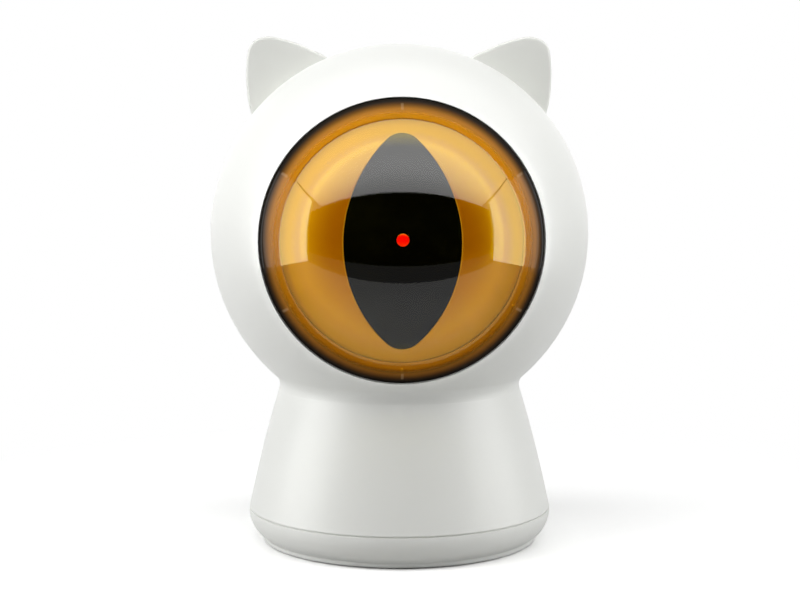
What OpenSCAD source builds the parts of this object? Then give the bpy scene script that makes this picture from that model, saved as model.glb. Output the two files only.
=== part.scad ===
// Automatic cat laser toy: a round head with a gimballed laser eye on a flared base.
// Origin at the centre of the foot on the table, +Z up, the eye looks along -Y.

/* [Head] */
// Outer diameter of the round head
head_d = 81; // [79:0.5:84]
// Height of the head's centre above the table
head_z = 66.2; // [65:0.2:70]
// Wall of the moulded shells
wall = 2; // [1.6:0.1:2.3]
// Plane where the front shell meets the rear shell
split_y = 3; // [2:0.5:5]

/* [Base] */
// Diameter at the top of the flared base
neck_d = 51.8; // [51:0.2:53]
// Height of the top of the flared base
neck_z = 33.4; // [32.8:0.2:34.4]
// Radius of the concave blend under the head
neck_fillet = 3; // [1.5:0.5:4]
// Widest diameter of the base
base_d = 64.6; // [64.6:0.2:66.6]
// Height of the widest ring of the base
base_z = 9; // [8.4:0.2:9.4]
// Radius of the slight swell along the flank
flank_r = 300; // [200:10:600]
// Radius of the rounded bottom edge
corner_r = 6.2; // [5.8:0.2:6.4]
// Height of the seam between the shells and the twist-off cap
seam_z = 7.2; // [7:0.1:7.4]
// Open width of that seam
seam_gap = 0.24; // [0.1:0.02:0.3]

/* [Eye] */
// Diameter of the round opening in the front shell
eye_d = 57.2; // [56.8:0.2:57.8]
// How far the eye's turning centre lies in front of the head's centre
eye_off = 8; // [7.8:0.1:8.4]
// Outer radius of the clear dome
dome_r = 35.3; // [35.1:0.1:36]
// Wall of the clear dome
dome_t = 1.6; // [1.4:0.1:1.7]
// Outer radius of the gold iris
iris_r = 30.2; // [29.8:0.1:30.3]
// Wall of the iris
iris_t = 1.6; // [1.2:0.1:1.8]
// Radius of the iris's free edge
iris_edge_r = 24.6; // [24.2:0.1:24.9]
// Clearance that the turning iris keeps to the fixed bezel
eye_gap = 0.5; // [0.3:0.05:0.6]
// Width of the slit pupil
pupil_w = 23; // [20:0.5:26]
// Height of the slit pupil
pupil_h = 42.8; // [38:0.2:43]
// Radius of the slit's rounded ends
pupil_tip_r = 4.4; // [3:0.2:5.4]
// Diameter of the red laser window
lens_d = 2.8; // [2:0.1:3.6]
// Height of the laser above the middle of the pupil
laser_up = 0.9; // [0:0.1:1]

/* [Ears] */
// Distance of an ear's outer edge from the middle
ear_x = 32.9; // [32.5:0.1:34]
// Height of an ear's tip
ear_top_z = 108.6; // [107:0.2:111]
// Thickness of an ear at its rounded edge
ear_t = 6.4; // [5:0.2:8]
// Radius that rounds an ear's edges
ear_round = 1.6; // [1:0.1:2]
// Diameter of the peg that plugs an ear into the head
ear_peg_d = 6; // [5:0.2:7]

/* [Gimbal] */
// Gear module
gear_m = 0.6; // [0.6]
// Teeth on each motor pinion
pinion_n = 12; // [12]
// Teeth on the pan gear
pan_n = 36; // [36]
// Teeth on the full circle of the tilt sector
tilt_n = 32; // [32]
// Face width of the gears
gear_w = 2.8; // [2.4:0.1:3]
// Diameter of the pan shaft
pan_shaft_d = 5; // [4:0.2:5.4]
// Diameter of the tilt trunnions
trunnion_d = 4; // [3:0.2:4.6]
// Radial running clearance of shafts in their bores
run_gap = 0.05; // [0.02:0.01:0.08]
// Diameter of the two geared motors
motor_d = 12; // [10:0.5:12.5]
// Length of the two geared motors
motor_l = 9; // [8:0.5:9.5]

/* [Electrics] */
// Diameter of one battery cell
cell_d = 10.2; // [9.8:0.1:10.4]
// Length of one battery cell
cell_l = 44.1; // [43:0.1:44.5]
// Distance between neighbouring cells
cell_pitch = 10.6; // [10.5:0.1:10.8]
// Angle of the button from the rear centre line
button_angle = 16; // [14:1:20]
// Diameter of the power button
button_d = 7; // [6:0.2:7.6]
// Travel of the power button
button_travel = 0.6; // [0.4:0.1:0.8]
// Distance of the charging port from the rear centre line
port_x = -7.5; // [-8.5:0.1:-7]
// Width of the recess round the charging port
port_w = 10.8; // [10:0.2:11.4]
// Height of the recess round the charging port
port_h = 6.6; // [6:0.2:7]

/* [Battery cap] */
// Angle that the cap turns from locked to open
cap_turn = 22; // [18:1:26]
// Height of the rubber foot below the cap
foot_out = 0.3; // [0.2:0.05:0.5]
// Outer diameter of the rubber foot
foot_d = 50.8; // [48:0.2:52]
// Width of the rubber foot ring
foot_w = 4.4; // [3:0.2:5]
// Diameter of the rubber pad in the middle
pad_d = 12; // [8:0.5:14]

/* [Hidden] */
$fn = 96;

eps = 0.01;
big = 200;
fit = 0.1;               // gap between pieces that plug together
head_r = head_d / 2;
head_c = [0, head_z];    // centres below are [radius, height] in the turned profile

function unit(v) = v / norm(v);
// The meeting point, on the side of larger radius, of two circles in the profile plane.
function meet(c0, r0, c1, r1) =
    let (d = norm(c1 - c0), u = unit(c1 - c0))
    let (a = (r0 * r0 - r1 * r1 + d * d) / (2 * d), h = sqrt(r0 * r0 - a * a))
    c0 + a * u + h * [-u[1], u[0]] * (u[1] < 0 ? 1 : -1);

// The flank is one slightly swelled arc from the neck to the widest ring.
neck_p = [neck_d / 2, neck_z];
base_p = [base_d / 2, base_z];
chord = base_p - neck_p;
chord_out = [-chord[1], chord[0]] / norm(chord);
flank_c = (neck_p + base_p) / 2
    - chord_out * sqrt(flank_r * flank_r - norm(chord) * norm(chord) / 4);
bite = 0.02;             // depth by which round stretches cross, so that none only touches the next
fillet_c = meet(head_c, head_r + neck_fillet - bite, flank_c, flank_r + neck_fillet - bite);
corner_z = foot_out + corner_r;
corner_c = [
    flank_c[0] + sqrt(pow(flank_r - corner_r + bite, 2) - pow(corner_z - flank_c[1], 2)), corner_z
];
// Radius of the flank, drawn in by some inset, at a height
function flank_at(z, inset = 0) =
    flank_c[0] + sqrt(pow(flank_r - inset, 2) - pow(z - flank_c[1], 2));

eye_r = eye_d / 2;
eye_c = [0, -eye_off, head_z];
rim_f = sqrt(head_r * head_r - eye_r * eye_r) - eye_off;   // rim plane, forward of the eye's centre
skirt_gap = 0.3;
skirt_r = eye_r - skirt_gap;
skirt_in_r = skirt_r - dome_t;
seat_f = rim_f - 4.1;                                      // where the dome's flange seats
flange_t = 1.2;
flange_r = eye_r + 1;
flange_back_f = seat_f - flange_t;
bezel_t = 1.5;
bezel_r = flange_r + 0.7;
bezel_lip_r = skirt_in_r - fit;
bezel_lip_f = seat_f + 3.3;
iris_back_f = sqrt(iris_r * iris_r - iris_edge_r * iris_edge_r);
window_r = iris_r - 0.02;
lens_r = lens_d / 2;
barrel_r = 3;
barrel_f = iris_r - iris_t - 1.35;
barrel_l = barrel_f - iris_back_f + 1.5;

hoop_r = 27;
hoop_t = 3;
hoop_w = 8;
arm_x = 20;
arm_t = 3;
tilt_centre = gear_m * (tilt_n + pinion_n) / 2;
pan_centre = gear_m * (pan_n + pinion_n) / 2;
shaft_r = 0.75;

chassis_z = 31;
chassis_t = 2;
chassis_r = neck_d / 2 - 2.5;
chassis_screw_r = chassis_r - 1.6;
bush_top_z = 33.6;
bush_low_z = 28;
gear_z = bush_top_z;
hub_z = gear_z + gear_w;

tray_r = 27.7;
tray_low_z = 4.6;
tray_top_z = 16.4;
cell_z = 9.6;
contact_t = 0.45;
ledge_z = 12.2;
ledge_t = 1.4;
cap_floor_z = 2.8;
foot_top_z = 1.5;
grip_x = 13.8;
grip_r = 5;
collar_r = 29.7;
collar_t = 0.9;
collar_top_z = 9.5;
lug_in = 0.85;
lug_t = 1;
lug_half = 6;
board_z = 18.9;
board_t = 1.2;
port_z = 21.4;
port_floor_y = 24.4;
switch_face_y = 21;
button_seat_y = 25.4;
button_flange_t = 0.8;

screw_xz = [[30.8, head_z + 14.4, 9], [22, 24, 8]];   // x, z and seat of each shell screw
shell_boss_r = 3.6;
screw_head_r = 2.4;
screw_r = 1.3;
small_r = 0.8;
thread_gap = 0.03;

white = [0.95, 0.95, 0.94];
grey_white = [0.85, 0.86, 0.83];
steel = [0.7, 0.7, 0.72];
brass = [0.8, 0.65, 0.3];
board_green = [0.1, 0.35, 0.2];
dark = [0.12, 0.12, 0.12];

// Turned profile of the whole outside, drawn in by inset
module outline(inset = 0) {
    web = neck_fillet + inset + 1.5;
    head_in = fillet_c + unit(head_c - fillet_c) * web;
    flank_in = fillet_c + unit(flank_c - fillet_c) * web;
    corner_t = corner_c + unit(corner_c - flank_c) * (corner_r - inset);
    intersection() {
        translate(head_c) circle(head_r - inset);
        translate([0, head_z - head_d]) square(2 * head_d);
    }
    difference() {
        polygon([
            [0, flank_in[1] - 4], [flank_in[0] - 4, flank_in[1] - 4], flank_in, fillet_c, head_in,
            [head_in[0] - 4, head_in[1] + 2], [0, head_in[1] + 2]
        ]);
        translate(fillet_c) circle(neck_fillet + inset);
    }
    intersection() {
        translate(flank_c) circle(flank_r - inset);
        translate([0, corner_t[1]]) square([head_d, flank_in[1] + 0.5 - corner_t[1]]);
    }
    intersection() {
        translate(corner_c) circle(corner_r - inset);
        translate([corner_c[0], 0]) square([corner_r + 1, corner_z + corner_r]);
    }
    translate([0, foot_out + inset]) {
        square([corner_c[0], corner_t[1] - foot_out - inset + 1]);
    }
}

// Places things in the eye's frame: its turning centre at the origin, forward as +Z, up as +Y
module at_eye() {
    translate(eye_c) rotate([90, 0, 0]) children();
}

// A thick ring in the eye's frame between a back plane and a front plane
module eye_ring(outer, inner, back, front) {
    translate([0, 0, back]) difference() {
        cylinder(r = outer, h = front - back);
        translate([0, 0, -1]) cylinder(r = inner, h = front - back + 2);
    }
}

// Copies things to the left and right sides
module both_sides() {
    for (side = [-1, 1]) mirror([side < 0 ? 1 : 0, 0, 0]) children();
}

// A cylinder along +Y from y0 to y1
module rod_y(r, y0, y1) {
    translate([0, y0, 0]) rotate([-90, 0, 0]) cylinder(r = r, h = y1 - y0);
}

// A screw with its head's seat at the origin, its shank along -Z and its head above
module screw(head_r, head_h, r, length) {
    difference() {
        cylinder(r = head_r, h = head_h);
        translate([0, 0, head_h / 2]) cylinder(r = head_r * 0.45, h = head_h, $fn = 6);
    }
    translate([0, 0, -length]) cylinder(r = r, h = length + eps);
}

// ---------------------------------------------------------------- shells

module shell_wall() {
    rotate_extrude() {
        difference() {
            intersection() {
                outline();
                translate([0, seam_z + seam_gap / 2]) square([big, big]);
            }
            outline(wall);
        }
        // ledges that carry the battery tray and the chassis
        intersection() {
            outline(wall / 2);
            union() {
                translate([tray_r + 0.4, ledge_z - ledge_t]) square([10, ledge_t]);
                translate([chassis_r - 3, chassis_z - ledge_t]) square([10, ledge_t]);
            }
        }
    }
}

// The room that the shells' inner fittings fill, left open round the middle
module inner_room() {
    rotate_extrude() difference() {
        outline(wall / 2);
        square([chassis_r / 2, big]);
    }
}

module shell_half(front) {
    translate([-big / 2, front ? split_y - big : split_y, 0]) cube([big, big, big]);
}

// Holes for the screws that fasten the chassis to its ledge
module chassis_screw_places() {
    for (a = [30, 150, 210, 330]) {
        rotate([0, 0, a]) translate([chassis_screw_r, 0, chassis_z + chassis_t]) children();
    }
}

module shell_screw_places() {
    for (s = screw_xz) both_sides() translate([s[0], s[2], s[1]]) rotate([-90, 0, 0]) children();
}

module front_shell() color(white) difference() {
    union() {
        intersection() {
            shell_wall();
            shell_half(true);
        }
        intersection() {
            inner_room();
            union() {
                at_eye() translate([0, 0, flange_back_f]) cylinder(r = bezel_r + 0.9, h = 30);
                for (s = screw_xz) both_sides() {
                    translate([s[0], 0, s[1]]) rod_y(shell_boss_r - 0.6, -19, split_y);
                }
            }
        }
    }
    at_eye() {
        cylinder(r = eye_r, h = big);
        translate([0, 0, flange_back_f - 1]) cylinder(r = flange_r + 0.2, h = flange_t + 1);
    }
    shell_screw_places() translate([0, 0, -16]) cylinder(r = screw_r + thread_gap, h = 16);
    chassis_screw_places() translate([0, 0, -6]) cylinder(r = small_r + thread_gap, h = 6);
}

module in_button_frame() {
    rotate([0, 0, -button_angle]) children();
}

// What stands inward from the rear shell's wall
module rear_fittings() {
    for (s = screw_xz) both_sides() {
        translate([s[0], 0, s[1]]) rod_y(shell_boss_r, split_y, 40);
    }
    // walls of the recess round the charging port
    translate([port_x - port_w / 2 - 1, port_floor_y - 1, port_z - port_h / 2 - 1]) {
        cube([port_w + 2, 10, port_h + 2]);
    }
    in_button_frame() {
        translate([0, 0, port_z]) rod_y(button_d / 2 + 1.4, button_seat_y, 32);
        for (x = [-5.8, 5.8]) {
            translate([x, 0, port_z + 4.8]) rod_y(1.7, switch_face_y, 32);
        }
    }
}

module rear_shell() color(white) difference() {
    union() {
        intersection() {
            shell_wall();
            shell_half(false);
        }
        intersection() {
            inner_room();
            rear_fittings();
        }
    }
    shell_screw_places() {
        translate([0, 0, -16]) cylinder(r = screw_r + 0.15, h = 20);
        cylinder(r = screw_head_r + 0.2, h = 40);
    }
    // recess for the plug, and the slot for the socket's mouth in its floor
    translate([port_x - port_w / 2, port_floor_y, port_z - port_h / 2]) cube([port_w, 20, port_h]);
    translate([port_x - 4, port_floor_y - 3, port_z - 1.5]) cube([8, 4, 3]);
    in_button_frame() {
        translate([0, 0, port_z]) rod_y(button_d / 2 + 0.08, button_seat_y - 1, 40);
        for (x = [-5.8, 5.8]) {
            translate([x, 0, port_z + 4.8]) rod_y(small_r + thread_gap, switch_face_y - 1, 24.4);
        }
    }
    ear_peg_places() cylinder(r = ear_peg_d / 2 + run_gap, h = head_r + 5);
    chassis_screw_places() translate([0, 0, -6]) cylinder(r = small_r + thread_gap, h = 6);
}

// ---------------------------------------------------------------- ears

ear_front_y = 4;
ear_peg_x = 24.5;
ear_peg_y = ear_front_y + ear_t / 2;
ear_peg_rise = sqrt(head_r * head_r - ear_peg_x * ear_peg_x - ear_peg_y * ear_peg_y);
ear_peg_azimuth = atan2(ear_peg_y, ear_peg_x);
ear_peg_lean = acos(ear_peg_rise / head_r);

// Axes of the two pegs, from the head's centre outward
module ear_peg_places() {
    both_sides() one_peg() children();
}

module one_peg() {
    translate([0, 0, head_z]) rotate([0, 0, ear_peg_azimuth]) rotate([0, ear_peg_lean, 0]) children();
}

// Flat outline of the right ear, drawn in by the edge rounding
module ear_outline() {
    tip_r = 4.3 - ear_round;
    tip_x = ear_x - 4.3;
    tip_z = ear_top_z - 4.3;
    hull() {
        translate([tip_x, tip_z]) circle(tip_r);
        translate([tip_x - 1.5, tip_z + 0.1]) circle(tip_r);
        translate([15.5 + ear_round, 102.2 - ear_round]) circle(0.6);
        translate([19, 88]) circle(1);
        translate([ear_x - 1.1 - ear_round - 1, 89]) circle(1);
        // the slight swell of the upper inner edge
        translate([22.2, 106.95 - ear_round - 1]) circle(1);
        translate([18.3, 105.15 - ear_round - 1]) circle(1);
        translate([ear_x - ear_round - 6, 97.5]) circle(6);
    }
}

module right_ear() color(grey_white) difference() {
    union() {
        minkowski() {
            translate([0, ear_front_y + ear_t - ear_round, 0]) rotate([90, 0, 0]) {
                linear_extrude(ear_t - 2 * ear_round, $fn = 40) ear_outline();
            }
            sphere(ear_round, $fn = 16);
        }
        one_peg() translate([0, 0, head_r - wall]) cylinder(r = ear_peg_d / 2, h = wall + 3);
    }
    difference() {
        translate([0, 0, head_z]) sphere(head_r + 0.02);
        one_peg() translate([0, 0, head_r - wall]) cylinder(r = ear_peg_d / 2, h = wall + 1);
    }
    one_peg() cylinder(r = screw_r + thread_gap, h = head_r + 2.5);
}

module left_ear() {
    mirror([1, 0, 0]) right_ear();
}

module ear_screws() color(steel) ear_peg_places() {
    translate([0, 0, head_r - wall - 0.2]) mirror([0, 0, 1]) {
        cylinder(r = 3.6, h = 0.8);
        translate([0, 0, 0.8 - eps]) screw(2.3, 1.2, screw_r, 0.8);
        translate([0, 0, -3.8]) cylinder(r = screw_r, h = 4);
    }
}

module shell_screws() color(steel) shell_screw_places() screw(screw_head_r, 1.8, screw_r, 13);

// ---------------------------------------------------------------- eye

module eye_dome() color([0.75, 0.45, 0.1, 0.45]) at_eye() rotate_extrude() {
    intersection() {
        difference() {
            circle(dome_r);
            circle(dome_r - dome_t);
        }
        translate([0, seat_f]) square([skirt_r, big]);
    }
    translate([skirt_in_r, flange_back_f]) {
        square([dome_t, sqrt(pow(dome_r, 2) - pow(skirt_r, 2)) - flange_back_f]);
    }
    translate([skirt_in_r, flange_back_f]) square([flange_r - skirt_in_r, flange_t]);
}

module eye_bezel() color(dark) at_eye() difference() {
    union() {
        rotate_extrude() {
            translate([0, flange_back_f]) square([bezel_lip_r, bezel_lip_f - flange_back_f]);
            translate([0, flange_back_f - bezel_t]) square([bezel_r, bezel_t]);
        }
        for (a = [30:60:330]) rotate([0, 0, a]) {
            translate([bezel_lip_r - 1.2, -0.9, bezel_lip_f - 1]) cube([1, 1.8, 1.4]);
        }
    }
    difference() {
        sphere(iris_r + eye_gap);
        cylinder(r = 1, h = 1);
    }
    cylinder(r = sqrt(pow(iris_r + eye_gap, 2) - pow(bezel_lip_f - 1, 2)), h = big);
}

// Slit pupil: two long arcs closed by two round tips, grown by some margin
module pupil_outline(grow = 0) {
    half_w = pupil_w / 2;
    tip_c = pupil_h / 2 - pupil_tip_r;
    arc_r = (half_w * half_w + tip_c * tip_c - pupil_tip_r * pupil_tip_r)
        / (2 * (half_w - pupil_tip_r));
    arc_x = arc_r - half_w;
    tangent_h = tip_c * arc_r / (arc_r - pupil_tip_r);
    intersection() {
        translate([-arc_x, 0]) circle(arc_r + grow);
        translate([arc_x, 0]) circle(arc_r + grow);
        square([pupil_w * 2, tangent_h * 2], center = true);
    }
    for (side = [-1, 1]) translate([0, side * tip_c]) circle(pupil_tip_r + grow);
}

module iris_shell() color([0.72, 0.5, 0.2]) at_eye() difference() {
    sphere(iris_r);
    sphere(iris_r - iris_t);
    translate([-big / 2, -big / 2, iris_back_f - big]) cube(big);
    linear_extrude(big) pupil_outline(0.05);
}

module pupil_window() color(dark) at_eye() difference() {
    union() {
        intersection() {
            sphere(window_r);
            linear_extrude(big) pupil_outline();
        }
        intersection() {
            sphere(iris_r - iris_t - 0.05);
            linear_extrude(big) pupil_outline(1.4);
        }
    }
    sphere(iris_r - iris_t - 1);
    translate([0, laser_up, 0]) cylinder(r = lens_r + 0.05, h = big);
    translate([-big / 2, -big / 2, -big]) cube(big);
}

module laser_lens() color([0.9, 0.05, 0.05]) at_eye() intersection() {
    translate([0, laser_up, barrel_f]) cylinder(r = lens_r, h = 5);
    sphere(window_r + 0.1);
}

module laser_barrel() color(brass) at_eye() {
    translate([0, laser_up, barrel_f - barrel_l]) cylinder(r = barrel_r, h = barrel_l);
}

module laser_board() color(board_green) at_eye() translate([0, laser_up, barrel_f - barrel_l - 1]) {
    cylinder(r = barrel_r + 1.6, h = 1);
    translate([-1.5, -1, -0.8]) cube([3, 2, 0.8 + eps]);
}

// ---------------------------------------------------------------- gears

// A point of an involute, the unwinding of a circle of radius rb by t degrees
function involute(rb, t) =
    rb * [cos(t) + t * PI / 180 * sin(t), sin(t) - t * PI / 180 * cos(t)];
function unwind(rb, r) = sqrt(pow(r / rb, 2) - 1) * 180 / PI;
function turned(p, a) = [p[0] * cos(a) - p[1] * sin(a), p[0] * sin(a) + p[1] * cos(a)];

pressure = 20;
flank_steps = 3;
gear_backlash = 0.12;

// Outline of n teeth out of a full circle of teeth, the first one centred on +X
function gear_points(teeth, n, addendum) =
    let (
        rp = gear_m * teeth / 2, rb = rp * cos(pressure), tip = rp + addendum,
        root = rp - 1.3 * gear_m,
        t_pitch = unwind(rb, rp), t_tip = unwind(rb, tip), t_low = unwind(rb, max(rb, root)),
        lean = t_pitch - atan(t_pitch * PI / 180),
        half = 90 / teeth - gear_backlash / 2 / rp * 180 / PI + lean
    )
    [for (k = [0:n - 1]) let (mid = k * 360 / teeth)
        each concat(
            [turned([root, 0], mid - half - (root > rb ? -lean : 0))],
            [for (i = [0:flank_steps])
                turned(involute(rb, t_low + (t_tip - t_low) * i / flank_steps), mid - half)],
            [for (i = [flank_steps:-1:0])
                let (p = involute(rb, t_low + (t_tip - t_low) * i / flank_steps))
                turned([p[0], -p[1]], mid + half)],
            [turned([root, 0], mid + half + (root > rb ? -lean : 0))]
        )];

module gear_disc(teeth, addendum) {
    linear_extrude(gear_w) polygon(gear_points(teeth, teeth, addendum));
}

gear_addendum = 0.7 * gear_m;
pinion_addendum = gear_m;
sector_teeth = 9;

// The tilt axis as +Z, pointing to +X of the model, with the local +X turned to point rearward
module at_tilt_axis(x) {
    translate([x, eye_c[1], eye_c[2]]) rotate([0, 90, 0]) rotate([0, 0, 90]) children();
}

module tilt_cradle() color([0.3, 0.3, 0.32]) {
    at_eye() {
        difference() {
            eye_ring(iris_edge_r - 0.2, arm_x - 1.5, iris_back_f - 2, iris_back_f);
            // room for the back of the slit's two tips
            difference() {
                linear_extrude(big) pupil_outline(1.7);
                sphere(iris_r - iris_t - 1.3);
            }
        }
        translate([0, laser_up, 0]) {
            eye_ring(barrel_r + 1.8, barrel_r + 0.06, barrel_f - barrel_l, barrel_f - 0.8);
            for (a = [0, 90, 180, 270]) rotate([0, 0, a]) {
                translate([barrel_r + 1.7, -1.5, iris_back_f - 1.5]) {
                    cube([arm_x - barrel_r - 2.3 + laser_up, 3, 1.5]);
                }
            }
        }
        both_sides() {
            translate([arm_x, -3.5, 0]) cube([arm_t, 7, iris_back_f - 1]);
            translate([arm_x, 0, 0]) rotate([0, 90, 0]) cylinder(r = 4.6, h = arm_t);
            translate([arm_x, 0, 0]) rotate([0, 90, 0]) {
                cylinder(r = trunnion_d / 2, h = hoop_r - arm_x - 0.2);
            }
        }
    }
}

module tilt_gear() color([0.9, 0.9, 0.86]) at_tilt_axis(arm_x - gear_w) {
    rim = gear_m * tilt_n / 2 - 1.3 * gear_m;
    first = -floor(sector_teeth / 2) * 360 / tilt_n;
    difference() {
        union() {
            linear_extrude(gear_w) rotate([0, 0, first]) {
                polygon(concat([[0, 0]], gear_points(tilt_n, sector_teeth, gear_addendum)));
            }
            cylinder(r = rim - 3.4, h = gear_w);
        }
        translate([rim - 2.4, 0, -1]) cylinder(r = 1, h = gear_w + 2);
    }
}

module tilt_pinion() color(brass) at_tilt_axis(arm_x - gear_w) translate([tilt_centre, 0, 0]) {
    rotate([0, 0, 180 / pinion_n]) gear_disc(pinion_n, pinion_addendum);
    translate([0, 0, -7]) cylinder(r = shaft_r, h = 7 + eps);
}

bracket_x = arm_x - gear_w - 0.3;
bracket_t = 1.5;
motor_ear = motor_d / 2 + 2.6;

// A geared motor: its mounting face at the origin, its body along -Z
module motor_body() {
    difference() {
        union() {
            translate([0, 0, -motor_l]) cylinder(r = motor_d / 2, h = motor_l);
            translate([0, 0, -motor_l - 1]) cylinder(r = motor_d / 4, h = 1 + eps);
            for (side = [-1, 1]) translate([side * motor_ear, 0, -1]) cylinder(r = 2.1, h = 1);
            translate([-motor_ear, -2.1, -1]) cube([2 * motor_ear, 4.2, 1]);
        }
        translate([0, 0, -6]) cylinder(r = shaft_r + run_gap, h = 7);
        for (side = [-1, 1]) translate([side * motor_ear, 0, -2]) {
            cylinder(r = small_r + thread_gap, h = 3);
        }
    }
}

module at_tilt_motor() {
    at_tilt_axis(bracket_x - bracket_t) translate([tilt_centre, 0, 0]) rotate([0, 0, 90]) children();
}

module tilt_motor() color(steel) at_tilt_motor() motor_body();

module tilt_screws() color(steel) at_tilt_motor() for (side = [-1, 1]) {
    translate([side * motor_ear, 0, bracket_t]) screw(1.4, 0.25, small_r, bracket_t + 1);
}

module pan_yoke() color([0.3, 0.3, 0.32]) difference() {
    union() {
        // the lower half hoop with its two trunnion bosses
        translate([0, eye_c[1] + hoop_w / 2, eye_c[2]]) rotate([90, 0, 0]) intersection() {
            difference() {
                cylinder(r = hoop_r, h = hoop_w);
                translate([0, 0, -1]) cylinder(r = hoop_r - hoop_t, h = hoop_w + 2);
            }
            translate([-big / 2, -big, 0]) cube([big, big, hoop_w]);
        }
        both_sides() translate([hoop_r - hoop_t, eye_c[1], eye_c[2]]) rotate([0, 90, 0]) {
            cylinder(r = 4.6, h = hoop_t);
        }
        // the motor bracket
        translate([bracket_x - bracket_t, 0, 0]) rotate([90, 0, 90]) linear_extrude(bracket_t) {
            bracket_outline();
        }
        // the hub and the pan shaft
        translate([0, eye_c[1], hub_z]) cylinder(r = 5, h = eye_c[2] - hoop_r - hub_z + 1.5);
        translate([0, eye_c[1], bush_low_z - 2]) cylinder(r = pan_shaft_d / 2, h = 12);
    }
    both_sides() translate([hoop_r - hoop_t - 1, eye_c[1], eye_c[2]]) rotate([0, 90, 0]) {
        cylinder(r = trunnion_d / 2 + run_gap, h = hoop_t + 2);
    }
    at_tilt_motor() {
        translate([0, 0, -1]) cylinder(r = shaft_r + 1, h = bracket_t + 2);
        for (side = [-1, 1]) translate([side * motor_ear, 0, -1]) {
            cylinder(r = small_r + 0.05, h = bracket_t + 2);
        }
    }
    translate([0, eye_c[1], bush_low_z - 0.9]) difference() {
        cylinder(r = pan_shaft_d, h = 0.9);
        cylinder(r = pan_shaft_d / 2 - 0.6, h = 0.9);
    }
}

// Side view of the motor bracket, [y, z]: a web from the hoop up behind the eye to the motor
module bracket_outline() {
    motor_y = eye_c[1] + tilt_centre;
    pad = motor_d / 2 + 0.6;
    low_z = eye_c[2] - sqrt(pow(hoop_r, 2) - pow(bracket_x, 2)) + 1;
    polygon([
        [eye_c[1] - hoop_w / 2, low_z], [eye_c[1] + hoop_w / 2, low_z],
        [motor_y + pad, eye_c[2] - motor_ear - 3], [motor_y + pad, eye_c[2] + motor_ear + 2.6],
        [motor_y - pad + 2, eye_c[2] + motor_ear + 2.6], [motor_y - pad + 2, eye_c[2] - 8],
        [eye_c[1] - hoop_w / 2, low_z + 7]
    ]);
}

module pan_gear() color([0.9, 0.9, 0.86]) translate([0, eye_c[1], gear_z]) difference() {
    rotate([0, 0, 90]) gear_disc(pan_n, gear_addendum);
    translate([0, 0, -1]) cylinder(r = pan_shaft_d / 2 + 0.02, h = gear_w + 2);
    for (a = [30:60:330]) rotate([0, 0, a]) translate([6.4, 0, -1]) cylinder(r = 1.7, h = gear_w + 2);
}

module pan_bush() color(brass) translate([0, eye_c[1], 0]) difference() {
    union() {
        translate([0, 0, bush_low_z]) cylinder(r = pan_shaft_d / 2 + 1.2, h = bush_top_z - bush_low_z);
        translate([0, 0, bush_top_z - 0.6]) cylinder(r = pan_shaft_d / 2 + 2.2, h = 0.6);
    }
    translate([0, 0, bush_low_z - 1]) {
        cylinder(r = pan_shaft_d / 2 + run_gap, h = bush_top_z - bush_low_z + 2);
    }
}

module pan_clip() color(steel) translate([0, eye_c[1], bush_low_z - 0.85]) difference() {
    cylinder(r = pan_shaft_d / 2 + 1.4, h = 0.8);
    translate([0, 0, -1]) cylinder(r = pan_shaft_d / 2 - 0.55, h = 3);
    translate([0, -pan_shaft_d / 2 + 0.6, -1]) cube([10, pan_shaft_d - 1.2, 3]);
}

module at_pan_motor() {
    translate([0, eye_c[1] + pan_centre, 0]) children();
}

module pan_pinion() color(brass) at_pan_motor() translate([0, 0, gear_z]) {
    rotate([0, 0, -90 + 180 / pinion_n]) gear_disc(pinion_n, pinion_addendum);
    translate([0, 0, chassis_z - gear_z - 5]) cylinder(r = shaft_r, h = gear_z - chassis_z + 5 + eps);
}

module pan_motor() color(steel) at_pan_motor() translate([0, 0, chassis_z]) motor_body();

module pan_screws() color(steel) at_pan_motor() for (side = [-1, 1]) {
    translate([side * motor_ear, 0, chassis_z + chassis_t]) {
        screw(1.4, 0.8, small_r, chassis_t + 1);
    }
}

// ---------------------------------------------------------------- inner frame and electrics

module chassis() color([0.3, 0.3, 0.32]) difference() {
    union() {
        translate([0, 0, chassis_z]) cylinder(r = chassis_r, h = chassis_t);
        translate([0, eye_c[1], bush_low_z]) {
            cylinder(r = pan_shaft_d / 2 + 2.6, h = bush_top_z - 0.6 - bush_low_z);
        }
    }
    translate([0, eye_c[1], bush_low_z - 1]) cylinder(r = pan_shaft_d / 2 + 1.22, h = 10);
    at_pan_motor() translate([0, 0, chassis_z - 1]) {
        cylinder(r = shaft_r + 1, h = chassis_t + 2);
        for (side = [-1, 1]) translate([side * motor_ear, 0, 0]) {
            cylinder(r = small_r + 0.05, h = chassis_t + 2);
        }
    }
    chassis_screw_places() translate([0, 0, -4]) cylinder(r = small_r + 0.05, h = 6);
    // a slot that lets the wires through
    both_sides() translate([14, -3, chassis_z - 1]) cube([4, 8, chassis_t + 2]);
}

module chassis_screws() color(steel) chassis_screw_places() {
    screw(1.4, 0.8, small_r, chassis_t + ledge_t);
}

board_posts = [[-9.5, -8.5], [9.5, -8.5], [-9.5, 11], [9.5, 11]];

module main_board() color(board_green) difference() {
    translate([0, 0, board_z]) union() {
        translate([-12, -11, 0]) cube([24, 25, board_t]);
        translate([-12, 13, 0]) cube([9.6, 10.2, board_t]);
    }
    for (p = board_posts) translate([p[0], p[1], board_z - 1]) {
        cylinder(r = small_r + 0.1, h = board_t + 2);
    }
}

module board_chips() color(dark) translate([0, 0, board_z + board_t]) {
    translate([-4, -9, 0]) cube([8, 8, 0.9]);
    translate([-10.5, 2, 0]) cube([5, 4, 1.2]);
    translate([7, 0.5, 0]) cube([3.6, 5, 1.4]);
    translate([-6, 14.5, 0]) cylinder(r = 1.6, h = 1.6);
}

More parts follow.
